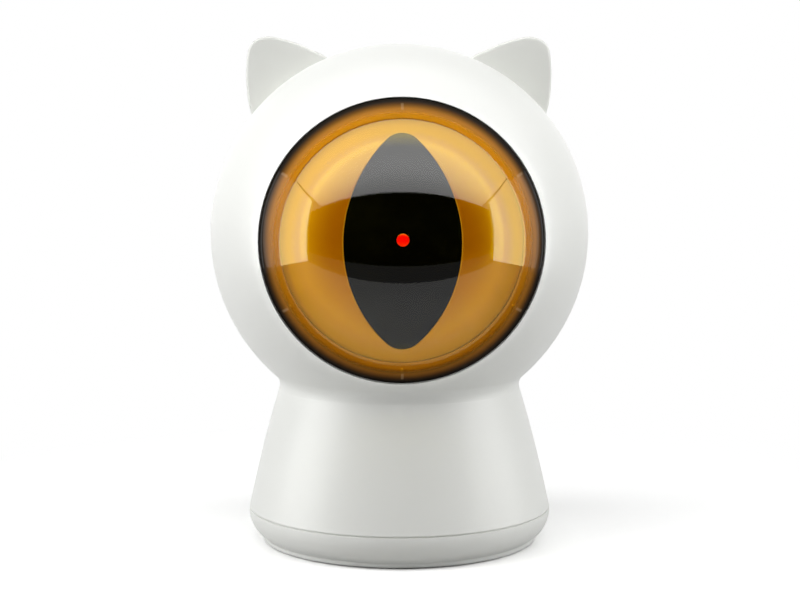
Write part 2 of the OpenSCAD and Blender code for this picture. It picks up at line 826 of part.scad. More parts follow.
module board_screws() color(steel) for (p = board_posts) {
    translate([p[0], p[1], board_z + board_t]) screw(1.5, 0.8, small_r, board_t + 2);
}

module usb_socket() color(steel) translate([port_x, 0, port_z]) difference() {
    translate([-3.75, port_floor_y - 5.6, board_z + board_t - port_z]) {
        cube([7.5, 5.6, 2 * (port_z - board_z - board_t)]);
    }
    difference() {
        translate([-3.4, port_floor_y - 4.4, -0.95]) cube([6.8, 6, 1.9]);
        translate([-2.6, port_floor_y - 4.5, -0.1]) cube([5.2, 3.8, 0.5]);
    }
}

module switch_board() color(board_green) in_button_frame() difference() {
    translate([-7.6, switch_face_y - 1.2, port_z - 4.2]) cube([15.2, 1.2, 11]);
    for (x = [-5.8, 5.8]) {
        translate([x, 0, port_z + 4.8]) rod_y(small_r + 0.1, switch_face_y - 2, switch_face_y + 1);
    }
}

module switch_screws() color(steel) in_button_frame() for (x = [-5.8, 5.8]) {
    translate([x, switch_face_y - 1.2, port_z + 4.8]) rotate([90, 0, 0]) {
        screw(1.4, 0.8, small_r, 4);
    }
}

plunger_r = 1.5;
button_back_y = button_seat_y - 0.1 - button_flange_t;

module button_switch() color(dark) in_button_frame() translate([0, 0, port_z]) difference() {
    translate([-3, switch_face_y, -3]) cube([6, button_back_y - button_travel - 0.3 - switch_face_y, 6]);
    rod_y(plunger_r + run_gap, switch_face_y + 0.4, 30);
}

module switch_plunger() color(white) in_button_frame() translate([0, 0, port_z]) {
    rod_y(plunger_r, switch_face_y + 0.5 + button_travel, button_back_y);
}

module power_button() color(grey_white) in_button_frame() translate([0, 0, port_z]) {
    face_y = flank_at(port_z) + 0.5;
    rod_y(button_d / 2 + 1, button_back_y, button_back_y + button_flange_t);
    rotate([-90, 0, 0]) rotate_extrude() {
        difference() {
            translate([0, button_back_y]) square([button_d / 2, face_y - button_back_y]);
            // the finger dish in the button's face
            translate([0, face_y + 14.6]) circle(15);
        }
    }
}

module battery_tray() color(grey_white) difference() {
    union() {
        translate([0, 0, tray_low_z]) cylinder(r = tray_r, h = tray_top_z - tray_low_z);
        translate([0, 0, ledge_z]) cylinder(r = tray_r + 1.2, h = 1.2);
        // the bayonet flange, with gaps where the cap's lugs come out
        difference() {
            translate([0, 0, collar_top_z - lug_t - 1.2]) cylinder(r = collar_r - collar_t - 0.3, h = 1);
            for (a = [90, 210, 330]) rotate([0, 0, a + cap_turn]) lug_slice(lug_half + 2, tray_r);
        }
        for (p = board_posts) translate([p[0], p[1], tray_top_z]) {
            cylinder(r = 2, h = board_z - tray_top_z);
        }
    }
    for (x = [-cell_pitch, 0, cell_pitch]) translate([x, 0, cell_z]) {
        half_l = cell_l / 2 + contact_t;
        rod_y(cell_d / 2 + fit, -half_l, half_l);
        translate([-cell_d / 2 - fit, -half_l, -cell_z]) cube([cell_d + 2 * fit, 2 * half_l, cell_z]);
    }
    for (p = board_posts) translate([p[0], p[1], board_z - 2]) {
        cylinder(r = small_r + thread_gap, h = 3);
    }
}

// A wedge-shaped piece of space along +X, from a radius outward
module lug_slice(half_angle, inner) {
    far = 40;
    linear_extrude(30) polygon([
        [inner * cos(half_angle), -inner * sin(half_angle)],
        [far * cos(half_angle), -far * sin(half_angle)],
        [far * cos(half_angle), far * sin(half_angle)],
        [inner * cos(half_angle), inner * sin(half_angle)]
    ]);
}

module battery_cells() color([0.2, 0.35, 0.3]) for (k = [-1:1]) {
    translate([k * cell_pitch, 0, cell_z]) rotate([0, 0, k == 0 ? 180 : 0]) {
        rod_y(cell_d / 2, -cell_l / 2, cell_l / 2 - 1);
        rod_y(1.9, cell_l / 2 - 1 - eps, cell_l / 2);
    }
}

module battery_contacts() color(steel) {
    for (k = [-1:1], end = [0, 1]) translate([k * cell_pitch - 3.2, 0, cell_z - 3.2]) {
        mirror([0, end, 0]) translate([0, cell_l / 2, 0]) cube([6.4, contact_t, 6.4]);
    }
}

module bottom_cap() color(white) difference() {
    union() {
        rotate_extrude() intersection() {
            outline();
            square([big, seam_z - seam_gap / 2]);
        }
        cylinder(r = collar_r, h = collar_top_z);
    }
    difference() {
        translate([0, 0, cap_floor_z]) cylinder(r = collar_r - collar_t, h = 20);
        for (a = [90, 210, 330]) rotate([0, 0, a]) intersection() {
            translate([0, 0, collar_top_z - lug_t]) difference() {
                cylinder(r = collar_r, h = 3);
                translate([0, 0, -1]) cylinder(r = collar_r - collar_t - lug_in, h = 5);
            }
            lug_slice(lug_half, tray_r - 2);
        }
    }
    // seats of the rubber ring and pad
    translate([0, 0, foot_top_z - 5]) rotate_extrude() {
        translate([foot_d / 2 - foot_w - fit, 0]) square([foot_w + 2 * fit, 5]);
        square([pad_d / 2 + fit, 5]);
    }
    // finger recesses that turn the cap, and the level underside
    both_sides() translate([grip_x, 0, foot_top_z - 5]) cylinder(r = grip_r, h = 5);
    translate([0, 0, foot_out - 5]) cylinder(r = 40, h = 5);
}

module rubber_feet() color([0.35, 0.35, 0.36]) rotate_extrude() {
    polygon([
        [foot_d / 2 - foot_w, foot_out], [foot_d / 2 - foot_w + foot_out, 0],
        [foot_d / 2 - foot_out, 0], [foot_d / 2, foot_out],
        [foot_d / 2, foot_top_z], [foot_d / 2 - foot_w, foot_top_z]
    ]);
    polygon([
        [0, 0], [pad_d / 2 - foot_out, 0], [pad_d / 2, foot_out], [pad_d / 2, foot_top_z],
        [0, foot_top_z]
    ]);
}

front_shell();
rear_shell();
left_ear();
right_ear();
ear_screws();
shell_screws();
eye_dome();
eye_bezel();
iris_shell();
pupil_window();
laser_lens();
laser_barrel();
laser_board();
tilt_cradle();
tilt_gear();
tilt_pinion();
tilt_motor();
tilt_screws();
pan_yoke();
pan_gear();
pan_bush();
pan_clip();
pan_pinion();
pan_motor();
pan_screws();
chassis();
chassis_screws();
main_board();
board_chips();
board_screws();
usb_socket();
switch_board();
switch_screws();
button_switch();
switch_plunger();
power_button();
battery_tray();
battery_cells();
battery_contacts();
bottom_cap();
rubber_feet();
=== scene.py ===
import math

import bmesh
import bpy
from mathutils import Matrix, Vector


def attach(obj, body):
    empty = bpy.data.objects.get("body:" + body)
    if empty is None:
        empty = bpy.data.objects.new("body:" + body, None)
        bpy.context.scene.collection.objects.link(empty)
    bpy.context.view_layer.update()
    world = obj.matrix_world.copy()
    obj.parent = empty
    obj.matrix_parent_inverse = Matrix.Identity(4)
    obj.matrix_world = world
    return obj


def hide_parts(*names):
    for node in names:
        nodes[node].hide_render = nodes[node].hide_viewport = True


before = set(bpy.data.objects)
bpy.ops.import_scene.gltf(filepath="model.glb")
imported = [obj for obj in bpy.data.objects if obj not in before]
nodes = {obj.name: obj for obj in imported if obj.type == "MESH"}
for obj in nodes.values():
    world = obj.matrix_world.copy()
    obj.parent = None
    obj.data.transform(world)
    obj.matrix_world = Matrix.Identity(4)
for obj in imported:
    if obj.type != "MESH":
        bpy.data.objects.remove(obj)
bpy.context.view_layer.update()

# ---------------------------------------------------------------- camera
# The photograph's viewpoint: a long lens a little above and to the left of the toy's axis,
# looking slightly down.
CAMERA_AT = (-0.0066, -0.36106, 0.08717)
CAMERA_DOWN = 5.598
CAMERA_RIGHT = 1.067
LENS_PIXELS, FRAME_PIXELS = 1675.2, 800
camera = bpy.data.objects.new("camera", bpy.data.cameras.new("camera"))
camera.location = CAMERA_AT
camera.rotation_euler = (math.radians(90 - CAMERA_DOWN), 0, -math.radians(CAMERA_RIGHT))
camera.data.sensor_width = 36
camera.data.lens = LENS_PIXELS * camera.data.sensor_width / FRAME_PIXELS
bpy.context.scene.collection.objects.link(camera)
bpy.context.scene.camera = camera
bpy.context.scene.view_settings.view_transform = "Standard"


# ---------------------------------------------------------------- studio
# A pale floor in a white room, lit by a wide soft lamp above and a softer one from each side.
# Gloss sees a light tent: one panel overhead, one at each side, and its dark open front.
class Wire:
    """One output of a shader node. Arithmetic on it adds Math nodes, and node() adds any other,
    given its type, its settings, the values or wires of its sockets, and the output wanted."""

    def __init__(self, tree, out=None):
        self.tree, self.out = tree, out

    def node(self, kind, settings=None, sockets=None, out=0):
        made = self.tree.nodes.new("ShaderNode" + kind)
        for name, value in (settings or {}).items():
            setattr(made, name, value)
        for name, value in (sockets or {}).items():
            if isinstance(value, Wire):
                self.tree.links.new(value.out, made.inputs[name])
            else:
                made.inputs[name].default_value = value
        return Wire(self.tree, made.outputs[out] if made.outputs else None)

    def maths(self, operation, a, b=0.0):
        return self.node("Math", {"operation": operation}, {0: a, 1: b})

    def __add__(self, other):
        return self.maths("ADD", self, other)

    def __sub__(self, other):
        return self.maths("SUBTRACT", self, other)

    def __rsub__(self, other):
        return self.maths("SUBTRACT", other, self)

    def __mul__(self, other):
        return self.maths("MULTIPLY", self, other)

    __radd__, __rmul__ = __add__, __mul__

    def ramp(self, low, high, to_low=0.0, to_high=1.0):
        """This value carried smoothly from the span low to high over to another span."""
        return self.node(
            "MapRange", {"interpolation_type": "SMOOTHSTEP"},
            {"Value": self, "From Min": low, "From Max": high, "To Min": to_low, "To Max": to_high},
        )

    def between(self, first, second):
        """A colour that goes from the first to the second as this value goes from 0 to 1."""
        ends = [c if isinstance(c, Wire) else (*c, 1) for c in (first, second)]
        return self.node("Mix", {"data_type": "RGBA"}, {0: self, 6: ends[0], 7: ends[1]}, out=2)


def start_paint(name):
    """A new empty material, and the wire that its nodes are added with."""
    paint = bpy.data.materials.new(name)
    paint.use_nodes = True
    paint.node_tree.nodes.clear()
    return paint, Wire(paint.node_tree)


def coat_with(shader):
    shader.node("OutputMaterial", None, {"Surface": shader})


def swatch(red, green, blue):
    """The linear light of a colour that is given in the 0 to 255 numbers of a screen."""
    return tuple(
        c / 12.92 if c <= 0.04045 else ((c + 0.055) / 1.055) ** 2.4
        for c in (red / 255, green / 255, blue / 255)
    )


def seen_rays(wire):
    """1 for the rays that show the background: those of the camera, gloss and glass."""
    seen = wire.node("LightPath", out="Is Camera Ray")
    for kind in ("Is Glossy Ray", "Is Transmission Ray"):
        seen = wire.maths("MAXIMUM", seen, wire.node("LightPath", out=kind))
    return seen


def flat_piece(name, corners, paint):
    """One flat polygon from its corners."""
    mesh = bpy.data.meshes.new(name)
    mesh.from_pydata(corners, [], [range(len(corners))])
    mesh.materials.append(paint)
    made = bpy.data.objects.new(name, mesh)
    bpy.context.scene.collection.objects.link(made)
    return made


# The floor takes the lamps' light near the toy, so that the shadow shows, and fades to a plain
# white glow. Gloss sees it a little darker.
FLOOR_R, FLOOR_SIDES = 1.6, 96
FLOOR_NEAR, FLOOR_FAR = 0.05, 0.14
FLOOR_LIT, FLOOR_SEEN, FLOOR_GLOSS = 0.54, 1.28, 0.75
floor_paint, wire = start_paint("pale_floor")
seen = seen_rays(wire)
dim = 1 - wire.node("LightPath", out="Is Glossy Ray") * (1 - FLOOR_GLOSS)
place = wire.node("TexCoord", out="Object")
away = wire.node("VectorMath", {"operation": "LENGTH"}, {0: place}, "Value")
lit = wire.node("BsdfDiffuse", None, {
    "Color": seen.between((FLOOR_LIT,) * 3, (FLOOR_SEEN,) * 3) * dim,
})
glow = wire.node("Emission", None, {"Color": (1, 1, 1, 1), "Strength": dim})
coat_with(wire.node("MixShader", None, {
    0: away.ramp(FLOOR_NEAR, FLOOR_FAR) * seen, 1: lit, 2: glow,
}))
turns = [math.tau * k / FLOOR_SIDES for k in range(FLOOR_SIDES)]
floor = flat_piece(
    "floor", [(FLOOR_R * math.cos(a), FLOOR_R * math.sin(a), 0) for a in turns], floor_paint
)

ROOM_LIGHT = 0.06
room = bpy.data.worlds.new("white_room")
room.use_nodes = True
room.node_tree.nodes.clear()
wire = Wire(room.node_tree)
seen = seen_rays(wire)
sky = wire.node(
    "Background", None, {"Color": (1, 1, 1, 1), "Strength": seen * (1 - ROOM_LIGHT) + ROOM_LIGHT}
)
wire.node("OutputWorld", None, {"Surface": sky})
bpy.context.scene.world = room

# name, place, point it is aimed at, width, depth, watts
LAMPS = [
    ("lamp_above", (0, -0.16, 0.58), (0, 0, 0.09), 0.50, 0.40, 1.50),
    ("lamp_left", (-0.34, -0.10, 0.21), (0, 0, 0.08), 0.30, 0.30, 1.10),
    ("lamp_right", (0.34, -0.10, 0.21), (0, 0, 0.08), 0.30, 0.30, 0.86),
    ("lamp_behind", (0, 0.50, 0.09), (0, 0, 0.06), 0.50, 0.18, 1.1),
]
for name, place, aim, width, depth, watts in LAMPS:
    lamp = bpy.data.lights.new(name, "AREA")
    lamp.shape, lamp.size, lamp.size_y, lamp.energy = "RECTANGLE", width, depth, watts
    holder = bpy.data.objects.new(name, lamp)
    holder.location = place
    holder.rotation_euler = (Vector(place) - Vector(aim)).to_track_quat("Z", "Y").to_euler()
    holder.visible_camera = holder.visible_glossy = False
    bpy.context.scene.collection.objects.link(holder)

# A narrow spot from in front fills the eye, which lies deep in its opening
SPOT_AT, SPOT_FROM_EYE, SPOT_R, SPOT_WATTS = (0, -0.56, 0.0662), 0.532, 0.0278, 4.0
SPOT_FADE, SPOT_BULB_R = 0.05, 0.004
spot = bpy.data.lights.new("spot_on_eye", "SPOT")
spot.spot_size = 2 * math.atan(SPOT_R / SPOT_FROM_EYE)
spot.spot_blend, spot.shadow_soft_size, spot.energy = SPOT_FADE, SPOT_BULB_R, SPOT_WATTS
holder = bpy.data.objects.new("spot_on_eye", spot)
holder.location = SPOT_AT
holder.rotation_euler = (math.pi / 2, 0, 0)
holder.visible_camera = holder.visible_glossy = False
bpy.context.scene.collection.objects.link(holder)

# Panels that only gloss sees: the light that each gives at its front and further back, and its
# corners in metres
TENT_FRONT, TENT_BACK = -0.30, -0.12
TENT = {
    "tent_top": (2.9, 4.9, [
        (-0.43, -0.30, 0.243), (0.42, -0.30, 0.237), (0.32, -0.05, 0.24), (0.32, 0.06, 0.24),
        (-0.32, 0.06, 0.24), (-0.32, -0.05, 0.24),
    ]),
    "tent_left": (2.6, 5.1, [
        (-0.24, -0.137, 0.010), (-0.24, 0.03, 0.006), (-0.24, 0.03, 0.2005),
        (-0.24, -0.045, 0.1945), (-0.24, -0.137, 0.168),
    ]),
    "tent_right": (2.6, 4.9, [
        (0.24, -0.147, 0.010), (0.24, 0.03, 0.006), (0.24, 0.03, 0.2005),
        (0.24, -0.045, 0.1945), (0.24, -0.147, 0.165),
    ]),
    "tent_opening": (0.0, 0.0, [
        (-0.60, -0.31, 0.0), (0.545, -0.31, 0.0), (0.545, -0.31, 0.241), (-0.60, -0.31, 0.241),
    ]),
    "tent_dark_floor": (0.0, 0.0, [
        (-0.60, -0.31, 0.0006), (0.545, -0.31, 0.0006),
        (0.545, -0.25, 0.0006), (-0.60, -0.25, 0.0006),
    ]),
    "tent_grey_floor": (0.16, 0.16, [
        (-0.60, -0.25, 0.0006), (0.545, -0.25, 0.0006),
        (0.545, -0.152, 0.0006), (-0.60, -0.152, 0.0006),
    ]),
}
for name, (front, back, corners) in TENT.items():
    paint, wire = start_paint(name)
    along = wire.node("SeparateXYZ", None, {0: wire.node("TexCoord", out="Object")}, "Y")
    strength = along.ramp(TENT_FRONT, TENT_BACK, front, back)
    coat_with(wire.node("Emission", None, {"Color": (1, 1, 1, 1), "Strength": strength}))
    panel = flat_piece(name, corners, paint)
    panel.visible_camera = panel.visible_diffuse = panel.visible_shadow = False
    panel.visible_transmission = panel.visible_volume_scatter = False

# ---------------------------------------------------------------- chassis and shaft parts
# A dark moulded plate on its ledge in the neck carries the pan bush, the pan motor and their
# screws. The yoke and the eye's cradle are moulded in the same nylon.


def dress(names, paint):
    """Gives CAD pieces their finish."""
    for name in names:
        mesh = nodes[name].data
        mesh.materials.clear()
        mesh.materials.append(paint)


# How sharp an edge is where its edge colour starts to show and where it shows in full. The edge
# colour is wear on most pieces and a painted shadow line on the ears
SHARP_FROM, SHARP_TO = 0.52, 0.62


def moulded(
    name, colour, rough, cloud_and_painted_light=0.03, grain=0.05, edge=0.0003, wear_and_edge_shading=0.10, gloss=0.5, crown=1.0
):
    """Injection-moulded plastic: a faint flow in its tone, a fine spark-eroded grain, and
    edges that are a little rounded. Below the height of its crown, sharp edges are rubbed
    smoother and change colour: a positive amount makes them lighter, as wear; a negative
    amount makes them darker, as a painted shadow line."""
    paint, wire = start_paint(name)
    place = wire.node("TexCoord", out="Object")
    flow = wire.node("TexNoise", None, {"Vector": place, "Scale": 34.0, "Detail": 3.0})
    fine = wire.node("TexNoise", None, {"Vector": place, "Scale": 2600.0, "Detail": 2.0})
    below = wire.node("SeparateXYZ", None, {0: place}, "Z").ramp(crown - 0.003, crown, 1.0, 0.0)
    edge_wear_and_shading_mask = wire.node("NewGeometry", out="Pointiness").ramp(SHARP_FROM, SHARP_TO) * below
    dark = tuple(c * (1 - cloud_and_painted_light) for c in colour)
    light = tuple(min(1.0, c * (1 + cloud_and_painted_light / 2)) for c in colour)
    tone = flow.ramp(0.3, 0.7).between(dark, light)
    edge_colour_worn_and_shaded = tuple(min(1.0, c * (1 + wear_and_edge_shading) + wear_and_edge_shading / 50) for c in colour)
    skin = wire.node("Bump", None, {
        "Strength": grain, "Distance": 0.0001, "Height": fine,
        "Normal": wire.node("Bevel", {"samples": 4}, {"Radius": edge}),
    })
    coat_with(wire.node("BsdfPrincipled", None, {
        "Base Color": edge_wear_and_shading_mask.between(tone, edge_colour_worn_and_shaded),
        "Roughness": flow * 0.08 + fine * 0.06 - edge_wear_and_shading_mask * 0.12 + (rough - 0.07),
        "Specular IOR Level": gloss,
        "Normal": skin,
    }))
    return paint


frame_plastic = moulded("frame_plastic", swatch(66, 67, 72), 0.46)
dress(["chassis", "pan_yoke", "tilt_cradle"], frame_plastic)


def metal(name, colour, rough, lines):
    """Turned or plated metal: faint tool lines round the work, and brighter rubbed edges."""
    paint, wire = start_paint(name)
    place = wire.node("TexCoord", out="Object")
    stain = wire.node("TexNoise", None, {"Vector": place, "Scale": 260.0, "Detail": 3.0})
    cuts = wire.node(
        "TexWave", {"wave_type": "RINGS", "rings_direction": "Z"},
        {"Vector": place, "Scale": 900.0, "Distortion": 3.0, "Detail": 1.0}, "Fac",
    )
    edge_wear_and_shading_mask = wire.node("NewGeometry", out="Pointiness").ramp(SHARP_FROM, SHARP_TO)
    tone = stain.ramp(0.35, 0.7).between(tuple(c * 0.82 for c in colour), colour)
    skin = wire.node("Bump", None, {
        "Strength": lines, "Distance": 0.00005, "Height": cuts,
        "Normal": wire.node("Bevel", {"samples": 4}, {"Radius": 0.0001}),
    })
    coat_with(wire.node("BsdfPrincipled", None, {
        "Base Color": edge_wear_and_shading_mask.between(tone, tuple(min(1.0, c * 1.15) for c in colour)),
        "Metallic": 1.0, "Roughness": stain * 0.2 + (rough - 0.1), "Normal": skin,
    }))
    return paint


steel = metal("plated_steel", swatch(196, 197, 201), 0.30, 0.10)
brass = metal("turned_brass", swatch(214, 176, 104), 0.26, 0.16)
SCREWS = ["chassis_screws", "pan_screws", "tilt_screws", "board_screws", "switch_screws"]
dress(SCREWS + ["ear_screws", "shell_screws", "pan_clip", "usb_socket"], steel)
dress(["pan_motor", "tilt_motor", "battery_contacts"], steel)
dress(["pan_bush", "pan_pinion", "tilt_pinion", "laser_barrel"], brass)

# ---------------------------------------------------------------- gears
# The pan gear on its shaft and the tilt sector on the cradle are moulded in natural acetal,
# milky and slightly waxy.
acetal = moulded("gear_acetal", swatch(232, 231, 220), 0.34, cloud_and_painted_light=0.05, edge=0.00012)
dress(["pan_gear", "tilt_gear"], acetal)

# ---------------------------------------------------------------- boards
# Three small fibreglass boards under green solder mask, with lighter copper runs below it,
# and their black moulded parts.
mask_green, wire = start_paint("solder_mask")
place = wire.node("TexCoord", out="Object")
runs = wire.node(
    "TexVoronoi", {"distance": "CHEBYCHEV", "feature": "F1"}, {"Vector": place, "Scale": 420.0}
)
weave = wire.node("TexNoise", None, {"Vector": place, "Scale": 1800.0, "Detail": 2.0})
copper = runs.ramp(0.42, 0.46)
coat_with(wire.node("BsdfPrincipled", None, {
    "Base Color": copper.between(swatch(20, 84, 52), swatch(46, 122, 72)),
    "Roughness": weave * 0.15 + 0.25,
    "Normal": wire.node("Bump", None, {
        "Strength": 0.25, "Distance": 0.00005, "Height": copper * 0.7 + weave * 0.3,
    }),
}))
dress(["main_board", "switch_board", "laser_board"], mask_green)
chip_black = moulded("chip_black", swatch(38, 38, 40), 0.55, grain=0.12, edge=0.0001)
dress(["board_chips", "button_switch"], chip_black)

# ---------------------------------------------------------------- battery tray and cells
# A moulded grey-white tray in the base holds three small cells between its contacts, and the
# cap's lugs turn under its flange. The cells are in plain shrink sleeves, their ends bare.
tray_plastic = moulded("tray_plastic", swatch(214, 214, 211), 0.48)
dress(["battery_tray"], tray_plastic)
SLEEVE_HALF = 0.0206
sleeve, wire = start_paint("cell_sleeve")
place = wire.node("TexCoord", out="Object")
along = wire.node("SeparateXYZ", None, {0: place}, "Y")
bare = wire.maths("ABSOLUTE", along).ramp(SLEEVE_HALF, SLEEVE_HALF + 0.0002)
crease = wire.node("TexNoise", None, {"Vector": place, "Scale": 500.0, "Detail": 4.0})
coat_with(wire.node("BsdfPrincipled", None, {
    "Base Color": bare.between(
        crease.between(swatch(40, 84, 74), swatch(64, 112, 100)), swatch(190, 190, 194)
    ),
    "Metallic": bare, "Roughness": crease * 0.2 + 0.22,
    "Normal": wire.node("Bump", None, {"Strength": 0.2, "Distance": 0.0001, "Height": crease}),
}))
dress(["battery_cells"], sleeve)

# ---------------------------------------------------------------- iris
# A gold-lacquered moulding of a sphere's cap with a slit, its edges rolled over. It rides on
# the cradle and turns with the laser.
MM = 0.001
EYE = Matrix.Translation((0, -0.008, 0.0662)) @ Matrix.Rotation(math.pi / 2, 4, "X")
IRIS_R, IRIS_EDGE_R, IRIS_BACK_R, IRIS_T = 30.2, 24.6, 22.75, 1.6
SLIT_HALF_W, SLIT_HALF_H, SLIT_TIP_R = 11.5, 21.5, 4.25
SLIT_ARC_STEPS, SLIT_TIP_STEPS = 80, 28
WALL_BACK = 1.0
SHARP_DEGREES = 30


def add_piece(name, mesh, place, body, slot, *replaced):
    """Puts a mesh in place, smooths it but for its sharp edges, and ties it to its CAD body."""
    mesh.transform(place)
    mesh.polygons.foreach_set("use_smooth", [True] * len(mesh.polygons))
    mesh.set_sharp_from_angle(angle=math.radians(SHARP_DEGREES))
    made = bpy.data.objects.new(name, mesh)
    bpy.context.scene.collection.objects.link(made)
    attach(made, body)
    if replaced:
        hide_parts(*replaced)
    return made


def ring_mesh(name, rings, closed=False):
    """A mesh through rings of equal length; closed joins the last ring to the first. A ring of
    one point closes the end."""
    form = bmesh.new()
    rows = [[form.verts.new([c * MM for c in point]) for point in ring] for ring in rings]
    pairs = list(zip(rows, rows[1:])) + ([(rows[-1], rows[0])] if closed else [])
    for low, high in pairs:
        count = max(len(low), len(high))
        for k in range(count):
            corners = [low[k % len(low)], low[(k + 1) % count % len(low)],
                       high[(k + 1) % count % len(high)], high[k % len(high)]]
            form.faces.new(list(dict.fromkeys(corners)))
    bmesh.ops.recalc_face_normals(form, faces=form.faces)
    mesh = bpy.data.meshes.new(name)
    form.to_mesh(mesh)
    form.free()
    return mesh


def slit(grow):
    """The slit's outline: two long arcs closed by two round tips, tangent to each other."""
    tip_z = SLIT_HALF_H - SLIT_TIP_R
    arc_r = (SLIT_HALF_W ** 2 + tip_z ** 2 - SLIT_TIP_R ** 2) / (2 * (SLIT_HALF_W - SLIT_TIP_R))
    meet = math.asin(tip_z / (arc_r - SLIT_TIP_R))
    parts = [
        (-(arc_r - SLIT_HALF_W), 0, arc_r, -meet, 2 * meet, SLIT_ARC_STEPS),
        (0, tip_z, SLIT_TIP_R, meet, math.pi - 2 * meet, SLIT_TIP_STEPS),
        (arc_r - SLIT_HALF_W, 0, arc_r, math.pi - meet, 2 * meet, SLIT_ARC_STEPS),
        (0, -tip_z, SLIT_TIP_R, math.pi + meet, math.pi - 2 * meet, SLIT_TIP_STEPS),
    ]
    return [
        (x + (r + grow) * math.cos(start + sweep * k / steps),
         y + (r + grow) * math.sin(start + sweep * k / steps))
        for x, y, r, start, sweep, steps in parts for k in range(steps)
    ]


def round_hole(radius, outline, up=0.0):
    """Points on a circle, one in the direction of each point of an outline."""
    return [
        (radius * x / math.hypot(x, y), up + radius * y / math.hypot(x, y)) for x, y in outline
    ]


def cap_between(name, inner, outer, steps, radius, back=None):
    """A closed piece of a sphere's wall between two outlines, with its rolled edges marked in an
    attribute, which the gold paints paler as wear and as a painted highlight.
    Each step is the share of the way from the inner to the outer one, and the depth below the
    sphere. The back of the wall, deeper than WALL_BACK, may end at an outline of its own."""
    rings = []
    for share, depth in steps:
        rim = back if back and depth > WALL_BACK else outer
        ring = [((1 - share) * a + share * c, (1 - share) * b + share * d)
                for (a, b), (c, d) in zip(inner, rim)]
        rings.append([(x, y, math.sqrt((radius - depth) ** 2 - x * x - y * y)) for x, y in ring])
    mesh = ring_mesh(name, rings, closed=True)
    wear_and_edge_shading = [float(0.01 < depth < WALL_BACK) for _, depth in steps for _ in inner]
    mesh.attributes.new("wear_and_edge_shading", "FLOAT", "POINT").data.foreach_set("value", wear_and_edge_shading)
    return mesh


# The slit's rolled edge, the face, the rim's rolled edge, and the back of the wall
IRIS_STEPS = (
    [(0, 0.30), (0.004, 0.12), (0.012, 0.03), (0.022, 0)]
    + [(0.022 + 0.948 * k / 16, 0) for k in range(1, 17)]
    + [(0.983, 0.02), (0.993, 0.10), (1, 0.32), (1, 1.4), (0.99, IRIS_T)]
    + [(0.99 - 0.97 * k / 12, IRIS_T) for k in range(1, 13)] + [(0, 1.4)]
)
IRIS_PLAY, PUPIL_PLAY = 0.05, 0.02
outline = slit(IRIS_PLAY)
edge, back = [round_hole(r, outline) for r in (IRIS_EDGE_R, IRIS_BACK_R)]
mesh = cap_between("iris", outline, edge, IRIS_STEPS, IRIS_R, back)


def from_axis(place):
    """How far a point of the eye lies from the eye's axis at rest."""
    middle = tuple(EYE.translation)
    offset = place.node("VectorMath", {"operation": "SUBTRACT"}, {0: place, 1: middle})
    flat = place.node("VectorMath", {"operation": "MULTIPLY"}, {0: offset, 1: (1, 0, 1)})
    return place.node("VectorMath", {"operation": "LENGTH"}, {0: flat}, "Value")


def height(place):
    """The height of a point of the eye, from 0 at its foot to 1 at its top."""
    parts = place.node("SeparateXYZ", None, {0: place}, "Z")
    return parts.ramp(EYE.translation.z - IRIS_EDGE_R * MM, EYE.translation.z + IRIS_EDGE_R * MM)


# The gold at its foot and in its middle, at its rim, on its rolled edges, and the tint of its
# gloss. The lighter foot and rim are painted light; the paler edges are a painted highlight that
# also reads as wear
GOLD_LOW, GOLD_MIDDLE = (0.46, 0.165, 0.006), (0.31, 0.098, 0.003)
GOLD_EDGE, GOLD_EDGE_WORN_AND_LIT = (0.74, 0.36, 0.015), swatch(226, 168, 84)
GOLD_GLOSS = (0.62, 0.86, 0.25, 1)
gold, wire = start_paint("gold_lacquer")
place = wire.node("TexCoord", out="Object")
flake = wire.node("TexVoronoi", {"feature": "F1"}, {"Vector": place, "Scale": 5200.0}, "Color")
flow = wire.node("TexNoise", None, {"Vector": place, "Scale": 46.0, "Detail": 2.0})
edge_wear_and_shading_mask = wire.node("Attribute", {"attribute_name": "wear_and_edge_shading"}, out="Fac")
sparkle = wire.node("SeparateColor", None, {0: flake}, 0)
# The gold is set lighter towards the rim: painted light against the shade that the deep
# opening casts there
painted_rim_light = from_axis(place).ramp(0.013, IRIS_EDGE_R * MM)
# Lighter towards its foot, painted light, with a random cloud in the tone
cloud_and_painted_light = height(place).ramp(0.15, 0.55) + (flow - 0.5) * 0.15
tone = painted_rim_light.between(cloud_and_painted_light.between(GOLD_LOW, GOLD_MIDDLE), GOLD_EDGE)
coat_with(wire.node("BsdfPrincipled", None, {
    # Paler on the rolled edges: a painted highlight that also reads as wear
    "Base Color": (edge_wear_and_shading_mask * 0.5).between(tone, GOLD_EDGE_WORN_AND_LIT),
    "Metallic": sparkle * 0.05,
    "Roughness": flow * 0.03 + sparkle * 0.02 + 0.09, "Specular IOR Level": 0.55,
    "Specular Tint": GOLD_GLOSS,
    "Normal": wire.node("Bump", None, {"Strength": 0.003, "Distance": 0.0001, "Height": sparkle}),
}))
mesh.materials.append(gold)
iris = add_piece("iris", mesh, EYE, "eye", "iris_gold", "iris_shell")
# The moulding is polished a little flatter than its sphere, so its gloss lies with the dome's
POLISH = 0.843
forward = Vector((0, -1, 0))
polished = []
for corner in iris.data.corner_normals:
    normal = corner.vector.copy()
    lift = normal.dot(forward)
    if lift > 0:
        flat = (normal - forward * lift) * POLISH
        normal = flat + forward * math.sqrt(1 - flat.length_squared)
    polished.append(normal)
iris.data.normals_split_custom_set(polished)

